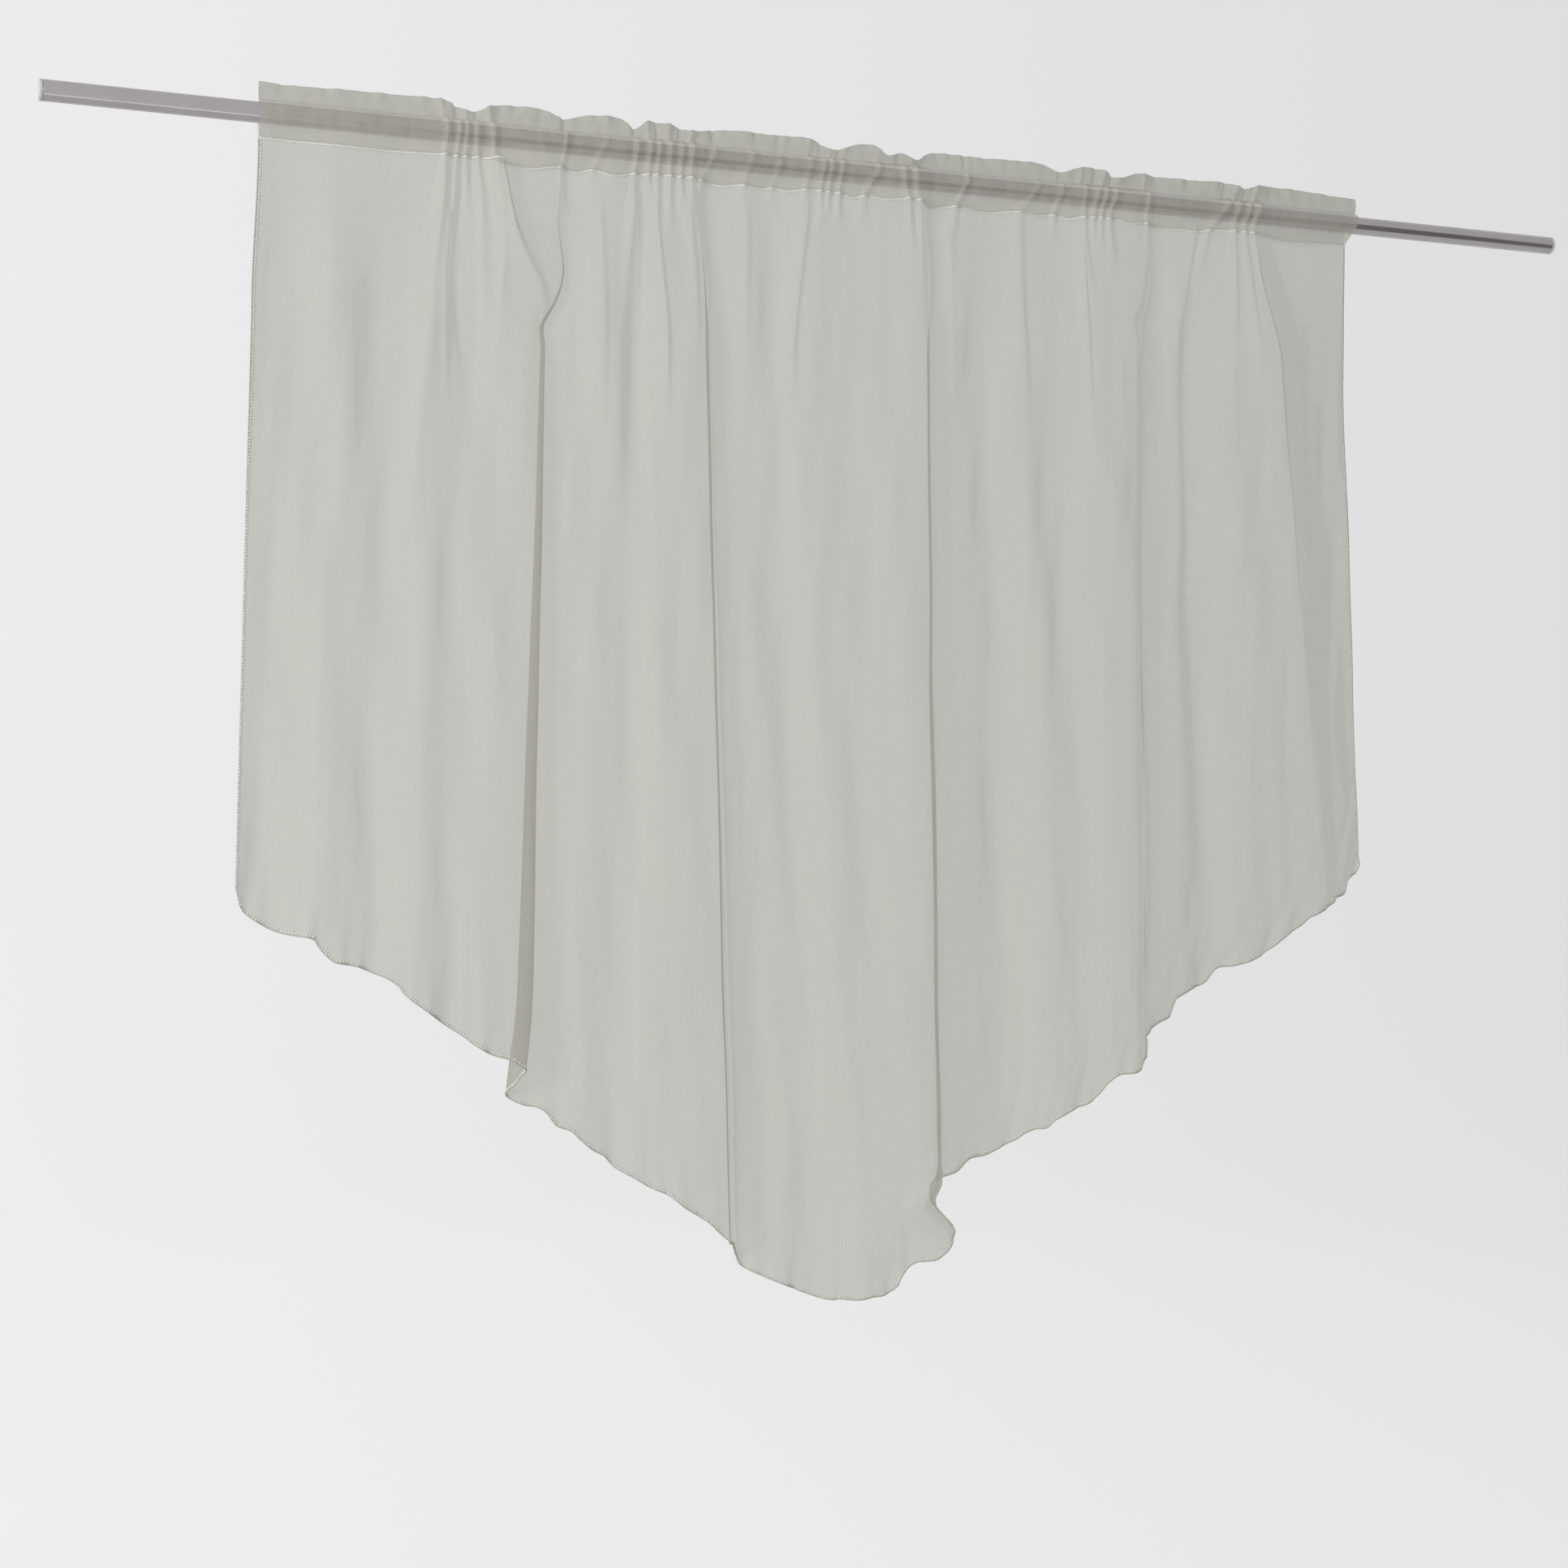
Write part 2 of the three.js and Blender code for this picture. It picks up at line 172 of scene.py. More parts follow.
# Pleats of the gathers: X at the ruffle's top, at the rod and at the lower seam, how far they
# stand out, their half-width, and X and Z of the point where they have opened out
Pleat = namedtuple("Pleat", "ruffle rod seam height width foot fade")
PLEATS = [
    Pleat(-541, -534, -536, 6.0, 3.6, -552, -150),
    Pleat(-525, -521, -523, 5.0, 3.0, -538, -190),
    Pleat(-513, -513, -513, 6.0, 3.2, -511, -130),
    Pleat(-501, -502, -501, 6.0, 3.4, -497, -140),
    Pleat(-488, -484, -482, 7.0, 4.0, -478, -110),
    Pleat(-402, -403, -405, 5.0, 3.6, -406, -120),
    Pleat(-352, -358, -372, 2.6, 4.0, -376, -60),
    Pleat(-322, -321, -322, 6.5, 3.4, -331, -140),
    Pleat(-307, -306, -307, 5.0, 3.0, -304, -90),
    Pleat(-295, -296, -297, 5.0, 3.0, -294, -150),
    Pleat(-282, -283, -282, 6.0, 3.4, -286, -130),
    Pleat(-268, -270, -270, 5.0, 3.0, -268, -90),
    Pleat(-255, -257, -257, 6.5, 3.6, -251, -110),
    Pleat(-227, -231, -243, 3.0, 4.0, -246, -56),
    Pleat(-182, -186, -193, 2.6, 4.5, -196, -56),
    Pleat(-148, -151, -158, 2.6, 4.5, -160, -56),
    Pleat(-112, -114, -119, 2.6, 4.0, -120, -56),
    Pleat(-98, -98, -100, 4.6, 3.0, -101, -80),
    Pleat(-87, -88, -90, 4.6, 3.0, -92, -70),
    Pleat(-75, -75, -77, 5.2, 3.0, -80, -80),
    Pleat(-24, -31, -46, 5.0, 3.6, -52, -76),
    Pleat(-3, 2, 9, 7.0, 3.8, 13, -120),
    Pleat(14, 17, 24, 8.0, 4.2, 31, -170),
    Pleat(88, 86, 75, 5.0, 3.6, 67, -80),
    Pleat(192, 178, 158, 3.6, 4.4, 152, -70),
    Pleat(216, 211, 204, 4.0, 4.0, 202, -70),
    Pleat(241, 242, 243, 5.0, 2.8, 252, -190),
    Pleat(262, 259, 255, 6.0, 3.4, 254, -80),
    Pleat(273, 270, 265, 6.0, 3.4, 264, -90),
    Pleat(286, 283, 276, 6.5, 3.6, 281, -120),
    Pleat(330, 330, 331, 5.0, 3.6, 328, -120),
    Pleat(448, 441, 420, 6.0, 3.6, 396, -120),
    Pleat(462, 457, 452, 6.0, 3.4, 450, -110),
    Pleat(475, 472, 467, 5.0, 3.0, 468, -100),
    Pleat(490, 486, 480, 7.0, 4.0, 500, -120),
]

# Pleats lean to the left for each mm that they stand out, widen as they open, and keep a share of
# their height in the ruffle and at the back. At the front they draw the cloth up over the rod
PLEAT_LEAN = 0.35
PLEAT_SPREAD = 2.2
RUFFLE_SHARE = 0.85
BACK_SHARE = 0.6
PLEAT_LIFT = 0.4

# The ruffle swings less at its seam. Heights over which the back takes on its own pleats above the
# lower seam, and over which the ruffle's swing comes in below the upper seam
RUFFLE_AT_SEAM = 0.3
BACK_BLEND = 14
RUFFLE_BLEND = 6

# The pocket's lower seam hangs in scallops between the pleats: X of the middle, half-width, sag
Scallop = namedtuple("Scallop", "at reach sag")
SCALLOPS = [
    Scallop(-640, 60, 1.5),
    Scallop(-447, 27, 7.0),
    Scallop(-390, 12, 4.0),
    Scallop(-346, 15, 4.5),
    Scallop(-218, 17, 3.0),
    Scallop(-174, 14, 2.5),
    Scallop(-138, 12, 2.5),
    Scallop(-60, 11, 4.0),
    Scallop(-18, 14, 3.0),
    Scallop(48, 18, 4.5),
    Scallop(115, 26, 4.0),
    Scallop(182, 16, 2.5),
    Scallop(224, 11, 3.5),
    Scallop(306, 13, 3.5),
    Scallop(362, 20, 2.5),
    Scallop(400, 14, 3.0),
    Scallop(545, 40, 3.0),
]

# The cloth sags with the seam between these heights
SCALLOP_FROM = -5
SCALLOP_TO = -90

# Creases that fan out below the gathers: X and Z at the top, the middle and the end, how far they
# stand out (a trough is negative), and their half-widths to the left and to the right
Crease = namedtuple("Crease", "x0 z0 x1 z1 x2 z2 height left right")
CREASES = [
    Crease(-534, -40, -546, -120, -556, -200, 5.0, 3.5, 9),
    Crease(-529, -45, -528, -159, -511, -310, -3.4, 4, 8),
    Crease(-521, -45, -536, -150, -538, -330, 4.5, 6, 3.5),
    Crease(-552, -180, -566, -280, -574, -420, 3.6, 3.5, 12),
    Crease(-497, -45, -498, -139, -495, -230, 4.4, 3.2, 8),
    Crease(-480, -50, -476, -130, -480, -220, 4.0, 3.2, 7),
    Crease(-481, 2, -464, -92, -422, -218, 13.0, 18, 1.8),
    Crease(-481, 2, -464, -92, -422, -218, 4.0, 4, 18),
    Crease(-364, -50, -362, -232, -364, -360, 3.6, 14, 6),
    Crease(-320, -45, -331, -137, -338, -230, 4.5, 7, 3.5),
    Crease(-311, -45, -313, -140, -310, -240, -3.0, 4, 6),
    Crease(-302, -45, -290, -200, -290, -330, 4.5, 7, 3.5),
    Crease(-262, -45, -256, -120, -254, -240, 4.0, 8, 4),
    Crease(-190, -45, -193, -150, -194, -260, 3.2, 12, 6),
    Crease(-117, -40, -135, -180, -148, -350, 4.4, 12, 5),
    Crease(66, -40, 66, -150, 68, -320, 4.0, 14, 6),
    Crease(157, -40, 158, -160, 166, -320, 4.0, 12, 5),
    Crease(240, -26, 241, -150, 246, -340, 4.5, 9, 2.4),
    Crease(282, -180, 283, -232, 284, -290, 3.4, 10, 6),
    Crease(405, -15, 388, -105, 374, -175, 5.0, 13, 2.4),
    Crease(452, -30, 452, -100, 448, -190, 4.0, 6, 3.5),
    Crease(469, -30, 476, -120, 484, -230, 3.4, 7, 4),
]

# A crease comes in from a little above its top to below it
CREASE_ABOVE = 20
CREASE_BELOW = 25

# Places where a tuck's ridge is knocked in: X, Z, half-widths, shift along X, shift to the room
Kink = namedtuple("Kink", "x z across along shift out")
KINKS = [
    Kink(-422, -148, 26, 46, 17, 1),
    Kink(-428, -203, 14, 14, -5, -2),
    Kink(318, -90, 22, 40, 6, 1),
    Kink(308, -148, 18, 13, -6, -3),
    Kink(22, -1192, 40, 18, -25, 0),
    Kink(-455, -1050, 40, 75, -9, 0),
]

# A tuck's ridge is creased like a knife fold: its share of the sizes below at the shoulder and at
# the hem, and over what height below the lower seam it comes in
Knife = namedtuple("Knife", "shoulder hem reach")
KNIVES = [
    Knife(0.2, 0.1, 220),
    Knife(0.65, 0.45, 220),
    Knife(0.2, 0.08, 220),
    Knife(0.1, 0, 220),
    Knife(0.34, 0, 40),
]

# Knife fold: how far it is pinched out, over what reach to its left and its right, and how far the
# cloth to its right is drawn in under it, over what reach
PINCH = 5.0
PINCH_LEFT = 11.0
PINCH_RIGHT = 3.0
DRAWN_UNDER = 7.0
UNDER_REACH = 4.0

# The cloth between the lines is never quite even: height and turn of each wave, and the lengths
# of a wave across the cloth and of its wander along it
Wave = namedtuple("Wave", "height across along turn")
PANEL_WAVES = [
    Wave(1.7, 97, 1900, 0.4),
    Wave(1.2, 61, 1300, 2.1),
    Wave(1.0, 143, 700, 4.0),
    Wave(0.6, 37, 900, 5.2),
]
HEADING_WAVES = [
    Wave(0.8, 23, 160, 0.0),
    Wave(0.6, 15.5, 120, 1.7),
    Wave(1.0, 41, 200, 3.1),
]
HEM_WAVES = [
    Wave(1.8, 47, 900, 0.6),
    Wave(1.2, 29, 700, 2.9),
    Wave(0.7, 19, 500, 4.4),
]
HEM_WAVE_REACH = 45

# A wave wanders by a share of its length, at a rate down the cloth. The pocket keeps a share of the
# heading's waves at its front, in full some way above the lower seam, and at its back
WAVE_WANDER = 0.7
WANDER_RATE = 5
FRONT_WAVES = 0.35
FRONT_WAVES_FROM = -14
BACK_WAVES = 0.5

# How finely the cloth is divided: the widest step of its columns along the hem, about the middle of
# a knife fold to the right of its ridge, in the heading, over some half-widths of a pleat, and in a
# narrow crease
HEM_STEP = 4.6
FOLD_STEP = 1.5
FOLD_MIDDLE = 6
FOLD_REACH = 18
HEADING_STEP = 3.5
PLEAT_STEP = 1.25
PLEAT_NEAR = 2
PLEAT_FAR = 4
CREASE_STEP = 1.5
NARROW_CREASE = 3

# Points that lengths are measured at, and rows in each stretch from the turned-in edge to the hem,
# where they lie closer together
MEASURES_PER_SPAN = 60
HEM_MEASURES = 4000
FAR_EDGE_ROWS = 2
BACK_ROWS = 9
RUFFLE_ROWS = 6
FRONT_ROWS = 12
SEAM_ROWS = 26
PANEL_ROWS = 64
CLOSER_AT_HEM = 1.15

# Edges: the rolled hem with its turns, which stand up by a share of its radius, how finely an edge is
# divided, and the smooth edge of the pocket, in front of the lower seam and below it
HEM_RADIUS = 0.85
HEM_TURN_PITCH = 2.3
HEM_TURN_RISE = 0.24
EDGE_STEP = 0.58
EDGE_SIDES = 8
POCKET_EDGE_RADIUS = 1.2
POCKET_EDGE_OUT = 0.9
POCKET_EDGE_DOWN = 0.4

# Stitches along the heading's two seams and inside the free edge, and how far they lie from the lower
# seam and from that edge
Stitch = namedtuple("Stitch", "length pitch radius")
SEAM_STITCH = Stitch(2.9, 3.2, 0.26)
HEM_STITCH = Stitch(3.3, 3.4, 1.1)
LOWER_STITCH_AWAY = 3
HEM_STITCH_IN = 2.1

# Each stitch: its sides, the share of its length that doesn't taper, how far it stands out, points
# of the path to a pitch and before the first, and how unevenly thick it is, in two beats
STITCH_SIDES = 6
STITCH_BODY = 0.45
STITCH_STANDS = 0.3
STITCH_POINTS = 8
STITCH_START = 6
STITCH_UNEVEN = 0.4
FAST_BEAT = 0.9
SLOW_BEAT = 0.23


def mix(a, b, share):
    return a + (b - a) * share


def smooth(value, low, high):
    """Rises from 0 at low to 1 at high, level at both ends."""
    t = np.clip((value - low) / (high - low), 0, 1)
    return t * t * (3 - 2 * t)


def waves(table, x, z):
    """Small uneven waves by place."""
    total = 0
    for wave in table:
        wander = WAVE_WANDER * np.sin(z / wave.along * WANDER_RATE + wave.turn)
        total = total + wave.height * np.sin(2 * np.pi * (x / wave.across + wander) + wave.turn)
    return total


def around(count):
    """Even turns of a circle."""
    return np.arange(count) * 2 * np.pi / count


def cubic(p1, p2, t1, t2, s):
    """The place at share s between two points, from the tangents at both."""
    return p1 + t1 * s + (3 * (p2 - p1) - 2 * t1 - t2) * s**2 + (2 * (p1 - p2) + t1 + t2) * s**3


def stations(level):
    """X and Y of the edges, crests, hollows, tuck ridges and tuck feet. level is -1 at the lower
    seam, 0 at the shoulder and 1 at the hem."""
    opened = smooth(level, -1, 0)
    fallen = max(level, 0)
    points = []
    carries = []
    for line in LINES:
        x = mix(mix(line.top, line.shoulder, opened), line.hem, fallen)
        out = mix(line.lift * mix(LIFT_AT_SEAM, 1, opened), line.stand, fallen)
        run = line.run + RUN_AT_SEAM * (1 - opened)
        points.append((x + line.flick * smooth(level, FLICK_FROM, 1), -out))
        carries.append(line.kind in ("edge", "tuck"))
        if line.kind == "tuck":
            points.append((x + run * out, FOOT_BACK))
            carries.append(True)
    points = np.array(points)
    carriers = np.flatnonzero(carries)
    for left, right in zip(carriers, carriers[1:]):
        between = slice(left + 1, right)
        share = smooth(points[between, 0], points[left, 0], points[right, 0])
        points[between, 1] += mix(points[left, 1], points[right, 1], share)
    return points


def plan(level, places):
    """X and Y of the cloth at a level: a smooth curve through the stations, at places counted in
    stations from the left edge."""
    points = stations(level)
    padded = np.vstack((2 * points[0] - points[1], points, 2 * points[-1] - points[-2]))
    span = np.minimum(places.astype(int), len(points) - 2)
    s = (places - span)[:, None]
    p0, p1, p2, p3 = (padded[span + k] for k in range(4))
    d0, d1, d2 = (np.linalg.norm(b - a, axis=1, keepdims=True) ** 0.5
                  for a, b in ((p0, p1), (p1, p2), (p2, p3)))
    t1 = ((p1 - p0) / d0 - (p2 - p0) / (d0 + d1) + (p2 - p1) / d1) * d1
    t2 = ((p2 - p1) / d1 - (p3 - p1) / (d1 + d2) + (p3 - p2) / d2) * d1
    curve = cubic(p1, p2, t1, t2, s)
    return curve[:, 0], curve[:, 1]


def along(*coordinates):
    """Length along a line of points, from its start."""
    steps = np.sqrt(sum(np.diff(c) ** 2 for c in coordinates))
    return np.concatenate(([0], np.cumsum(steps)))


def drop_at(across):
    """How far the cut edge hangs below the rod's axis."""
    places, drops = np.array(CUT, float).T
    last = len(CUT) - 1
    before = np.maximum(np.arange(last + 1) - 1, 0)
    after = np.minimum(np.arange(last + 1) + 1, last)
    slopes = (drops[after] - drops[before]) / (places[after] - places[before])
    row = np.clip(np.searchsorted(places, across, side="right"), 1, last)
    width = places[row] - places[row - 1]
    t = np.clip((across - places[row - 1]) / width, 0, 1)
    bend = slopes[row - 1] * t * (1 - t) ** 2 - slopes[row] * t**2 * (1 - t)
    return mix(drops[row - 1], drops[row], smooth(t, 0, 1)) + bend * width


def ridge_stations():
    """Numbers of the stations on the ridges of the tucks."""
    found = []
    station = 0
    for line in LINES:
        if line.kind == "tuck":
            found.append(station)
            station += 1
        station += 1
    return found


def column_places():
    """Places of the cloth's columns, closer together at pleats, narrow creases and knife folds.
    Every station has a column."""
    spans = len(stations(1)) - 1
    fine = np.arange(spans * MEASURES_PER_SPAN + 1) / MEASURES_PER_SPAN
    hem_steps = np.diff(along(*plan(1, fine)))
    top_x, top_y = plan(-1, fine)
    top_steps = np.diff(along(top_x, top_y))
    middle = (top_x[1:] + top_x[:-1]) / 2
    nearest = np.min([np.abs(middle - pleat.rod) / pleat.width for pleat in PLEATS], axis=0)
    step = mix(PLEAT_STEP, HEADING_STEP, smooth(nearest, PLEAT_NEAR, PLEAT_FAR))
    for crease in CREASES:
        if min(crease.left, crease.right) < NARROW_CREASE:
            first, last = sorted((crease.x0, crease.x2))
            within = (middle > first) & (middle < last)
            step = np.where(within, np.minimum(step, CREASE_STEP), step)
    hem_middle = np.cumsum(hem_steps) - hem_steps / 2
    ridge_at = [hem_middle[station * MEASURES_PER_SPAN] for station in ridge_stations()]
    from_ridge = np.min([np.abs(hem_middle - at - FOLD_MIDDLE) for at in ridge_at], axis=0)
    hem_step = mix(FOLD_STEP, HEM_STEP, smooth(from_ridge, FOLD_MIDDLE, FOLD_REACH))
    need = np.maximum(hem_steps / hem_step, top_steps / step)
    places = []
    for span in range(spans):
        part = need[span * MEASURES_PER_SPAN:(span + 1) * MEASURES_PER_SPAN]
        reached = np.concatenate(([0], np.cumsum(part))) / part.sum()
        count = math.ceil(part.sum())
        even = np.linspace(0, 1, len(reached))
        places.append(span + np.interp(np.arange(count) / count, reached, even))
    return np.concatenate((*places, [spans]))


def ruffle_top(x):
    """Height of the ruffle's top edge."""
    return RUFFLE_TOP - sum(g.dip * np.exp(-((x - g.at) / g.reach) ** 2) for g in GATHERS)


def ear(x, z, right_end):
    """How far the loose right end of the heading is spread along X."""
    return EAR_OUT * smooth(x, right_end - EAR_REACH, right_end) * smooth(z, LOWER_SEAM, RUFFLE_TOP)


def scallop(x, z):
    """How far the seam of the pocket sags between pleats, with the cloth above and below it."""
    sag = sum(s.sag * np.exp(-((x - s.at) / s.reach) ** 2) for s in SCALLOPS)
    return sag * np.minimum(smooth(z, SCALLOP_FROM, LOWER_SEAM), smooth(z, SCALLOP_TO, LOWER_SEAM))


def pleat_relief(x, z, alternate=False):
    """How far the pleats stand out. In the ruffle they alternate between the room and the wall."""
    total = 0
    for index, pleat in enumerate(PLEATS):
        heights = (pleat.fade, LOWER_SEAM, 0, RUFFLE_TOP)
        middle = np.interp(z, heights, (pleat.foot, pleat.seam, pleat.rod, pleat.ruffle))
        opened = 1 - smooth(z, pleat.fade, LOWER_SEAM)
        width = pleat.width * (1 + PLEAT_SPREAD * opened)
        side = -1 if alternate and index % 2 else 1
        total = total + side * pleat.height * (1 - opened) * np.exp(-((x - middle) / width) ** 2)
    return total


def crease_relief(x, z):
    """How far the creases below the gathers stand out."""
    total = 0
    for crease in CREASES:
        heights = (crease.z2, crease.z1, crease.z0)
        middle = np.interp(z, heights, (crease.x2, crease.x1, crease.x0))
        away = x - middle
        shape = np.exp(-(away / np.where(away < 0, crease.left, crease.right)) ** 2)
        start = smooth(z, crease.z0 + CREASE_ABOVE, crease.z0 - CREASE_BELOW)
        strength = smooth(z, crease.z2, crease.z1) * start
        total = total + crease.height * shape * strength
    return total


def pocket_curve(side, seam_y, share):
    """Y and Z around the rod on its room side (-1) or far side (1), from the lower seam at share 0
    to the upper seam at share 1."""
    puff = np.maximum(-seam_y, 0) * POCKET_PUFF if side < 0 else np.zeros_like(seam_y)
    radius = POCKET_RADIUS + puff
    foot = seam_y + (LAYER_GAP * 2 if side > 0 else 0)
    y = [foot]
    z = [np.full_like(seam_y, LOWER_SEAM)]
    for corner in POCKET_CORNERS:
        y.append(side * math.cos(math.radians(corner)) * radius)
        z.append(math.sin(math.radians(corner)) * radius)
    y.append(np.full_like(seam_y, side * LAYER_GAP))
    z.append(np.full_like(seam_y, UPPER_SEAM))
    points = np.stack((np.array(y), np.array(z)), -1)
    padded = np.concatenate((2 * points[:1] - points[1:2], points, 2 * points[-1:] - points[-2:-1]))
    at = share * (len(points) - 1)
    span = min(int(at), len(points) - 2)
    s = at - span
    p0, p1, p2, p3 = padded[span:span + 4]
    curve = cubic(p1, p2, (p2 - p0) / 2, (p3 - p1) / 2, s)
    return curve[:, 0], curve[:, 1]


def ruffle_swing(x, z):
    """How far both layers of the ruffle stand out to the room."""
    free = mix(RUFFLE_AT_SEAM, 1, smooth(z, UPPER_SEAM, RUFFLE_TOP))
    return free * (RUFFLE_SHARE * pleat_relief(x, z, alternate=True) + waves(HEADING_WAVES, x, z))


def heading_rows(seam_x, seam_y):
    """Rows of points from the turned-in edge behind the lower seam, up the far side, over the top
    of the ruffle and down the room side to the lower seam."""
    right_end = seam_x[-1]
    top = ruffle_top(seam_x)
    seam_out = pleat_relief(seam_x, np.full_like(seam_x, LOWER_SEAM))
    rows = []

    def add(y, z, out, lift=0):
        lean = PLEAT_LEAN * np.abs(out)
        x = seam_x + ear(seam_x, z, right_end) - lean
        rows.append(np.stack((x, y - out, z + lift - scallop(seam_x, z)), -1))

    def joined_to_ruffle(out, z):
        return mix(out, ruffle_swing(seam_x, z), smooth(z, UPPER_SEAM - RUFFLE_BLEND, UPPER_SEAM))

    for row in range(FAR_EDGE_ROWS):
        z = np.full_like(seam_x, LOWER_SEAM + TURNED_IN * (1 - row / FAR_EDGE_ROWS))
        add(seam_y + LAYER_GAP, z, seam_out)
    for row in range(BACK_ROWS):
        y, z = pocket_curve(1, seam_y, row / BACK_ROWS)
        behind = -BACK_SHARE * pleat_relief(seam_x, z) - BACK_WAVES * waves(HEADING_WAVES, seam_x, z)
        out = mix(seam_out, behind, smooth(z, LOWER_SEAM, LOWER_SEAM + BACK_BLEND))
        add(y, z, joined_to_ruffle(out, z))
    rising = 1 - np.linspace(1, 0, RUFFLE_ROWS) ** 2
    for side, shares in ((1, rising), (-1, rising[-2:0:-1])):
        for share in shares:
            z = mix(UPPER_SEAM, top, share)
            gap = side * LAYER_GAP * (1 - share**4)
            add(seam_y * RUFFLE_SWAY * share + gap, z, ruffle_swing(seam_x, z))
    for row in range(FRONT_ROWS):
        y, z = pocket_curve(-1, seam_y, 1 - row / FRONT_ROWS)
        uneven = FRONT_WAVES * waves(HEADING_WAVES, seam_x, z)
        front = pleat_relief(seam_x, z) + uneven * smooth(z, LOWER_SEAM, FRONT_WAVES_FROM)
        out = joined_to_ruffle(front, z)
        add(y, z, out, lift=np.maximum(z, 0) / UPPER_SEAM * PLEAT_LIFT * np.maximum(out, 0))
    return rows


def panel_rows(places):
    """Rows of points from the lower seam to the hem."""
    fine = np.linspace(0, places[-1], HEM_MEASURES)
    hem = -drop_at(np.interp(places, fine, along(*plan(1, fine))))
    ridges = [int(np.searchsorted(places, station)) for station in ridge_stations()]
    levels = np.concatenate((
        np.arange(SEAM_ROWS) / SEAM_ROWS - 1,
        1 - (1 - np.arange(PANEL_ROWS + 1) / PANEL_ROWS) ** CLOSER_AT_HEM,
    ))
    rows = []
    for level in levels:
        x, y = plan(level, places)
        if level > 0:
            z = mix(SHOULDER, hem, level)
        else:
            z = np.full_like(x, mix(SHOULDER, LOWER_SEAM, -level))
        length = along(x, y)
        pleats = pleat_relief(x, z)
        out = pleats + crease_relief(x, z)
        out = out + waves(PANEL_WAVES, x, z) * smooth(z, LOWER_SEAM, SHOULDER)
        out = out + waves(HEM_WAVES, length, z) * np.exp(-(z - hem) / HEM_WAVE_REACH)
        shift = -PLEAT_LEAN * pleats
        for ridge, knife in zip(ridges, KNIVES):
            away = length - length[ridge]
            share = mix(knife.shoulder, knife.hem, max(level, 0))
            fold = smooth(z, LOWER_SEAM, LOWER_SEAM - knife.reach) * share
            reach = np.where(away < 0, PINCH_LEFT, PINCH_RIGHT)
            out = out + fold * PINCH * np.exp(-np.abs(away) / reach)
            under = np.maximum(away, 0) / UNDER_REACH
            shift = shift - fold * DRAWN_UNDER * under * np.exp(1 - under)
        for kink in KINKS:
            near = np.exp(-((x - kink.x) / kink.across) ** 2 - ((z - kink.z) / kink.along) ** 2)
            shift = shift + kink.shift * near
            out = out + kink.out * near
        rows.append(np.stack((x + shift, y - out, z - scallop(x, z)), -1))
    return rows


def placed(name, data):
    """A new object in the scene."""
    made = bpy.data.objects.new(name, data)
    bpy.context.scene.collection.objects.link(made)
    return made


def mesh_piece(name, vertices, faces, material, smooth_faces=True):
    """A mesh object from points in millimetres."""
    mesh = bpy.data.meshes.new(name)
    mesh.from_pydata((np.asarray(vertices) * MM).tolist(), [], faces)
    mesh.polygons.foreach_set("use_smooth", [smooth_faces] * len(mesh.polygons))
    mesh.materials.append(material)
    mesh.update()
    return placed(name, mesh)


def grid_faces(rows, columns, closed=False):
    """Quads of a grid of points numbered row by row."""
    across = columns if closed else columns - 1
    row, column = np.meshgrid(np.arange(rows - 1), np.arange(across), indexing="ij")
    following = (column + 1) % columns
    corners = (row * columns + column, (row + 1) * columns + column,
               (row + 1) * columns + following, row * columns + following)
    return np.stack(corners, -1).reshape(-1, 4).tolist()


def add_map(mesh, name, places):
    """A UV map from one place for each vertex."""
    corners = np.zeros(len(mesh.loops), int)
    mesh.loops.foreach_get("vertex_index", corners)
    layer = mesh.uv_layers.new(name=name)
    layer.data.foreach_set("uv", np.asarray(places)[corners].ravel())


def curtain_cloth(material):
    """The curtain's one length of cloth, the points of its grid and the number of heading rows."""
    places = column_places()
    heading = heading_rows(*plan(-1, places))
    panel = panel_rows(places)
    grid = np.array(heading + panel)
    rows, columns = grid.shape[:2]
    cloth = mesh_piece("voile_curtain", grid.reshape(-1, 3), grid_faces(rows, columns), material)
    lengths = np.array([along(*row.T) for row in grid])
    u = lengths / lengths[:, -1:] * FLAT_WIDTH
    v = np.array([along(*column.T) for column in grid.transpose(1, 0, 2)]).T
    flat = np.stack((u, -v), -1).reshape(-1, 2) * MM
    add_map(cloth.data, "cloth", flat)
    row = np.arange(rows)
    far = row < FAR_EDGE_ROWS + BACK_ROWS + RUFFLE_ROWS - 1
    # Rows of the pocket's front, which the voile paints paler as painted light
    gathered = (row >= len(heading) - FRONT_ROWS) & (row < len(heading))
    layer = np.stack((far, gathered), -1).astype(float)
    add_map(cloth.data, "layer", np.repeat(layer, columns, axis=0))
    add_map(cloth.data, "OFBake", (flat - flat.min(0)) / np.ptp(flat, 0))
    return cloth, grid, len(heading)


def unit(vectors):
    return vectors / np.linalg.norm(vectors, axis=-1, keepdims=True)


def resampled(path, step):
    """Places at even steps along a path, and its points and unit tangents there."""
    length = along(*path.T)
    at = np.linspace(0, length[-1], int(length[-1] / step) + 1)
    points = np.stack([np.interp(at, length, c) for c in path.T], -1)
    return at, points, unit(np.gradient(points, axis=0))


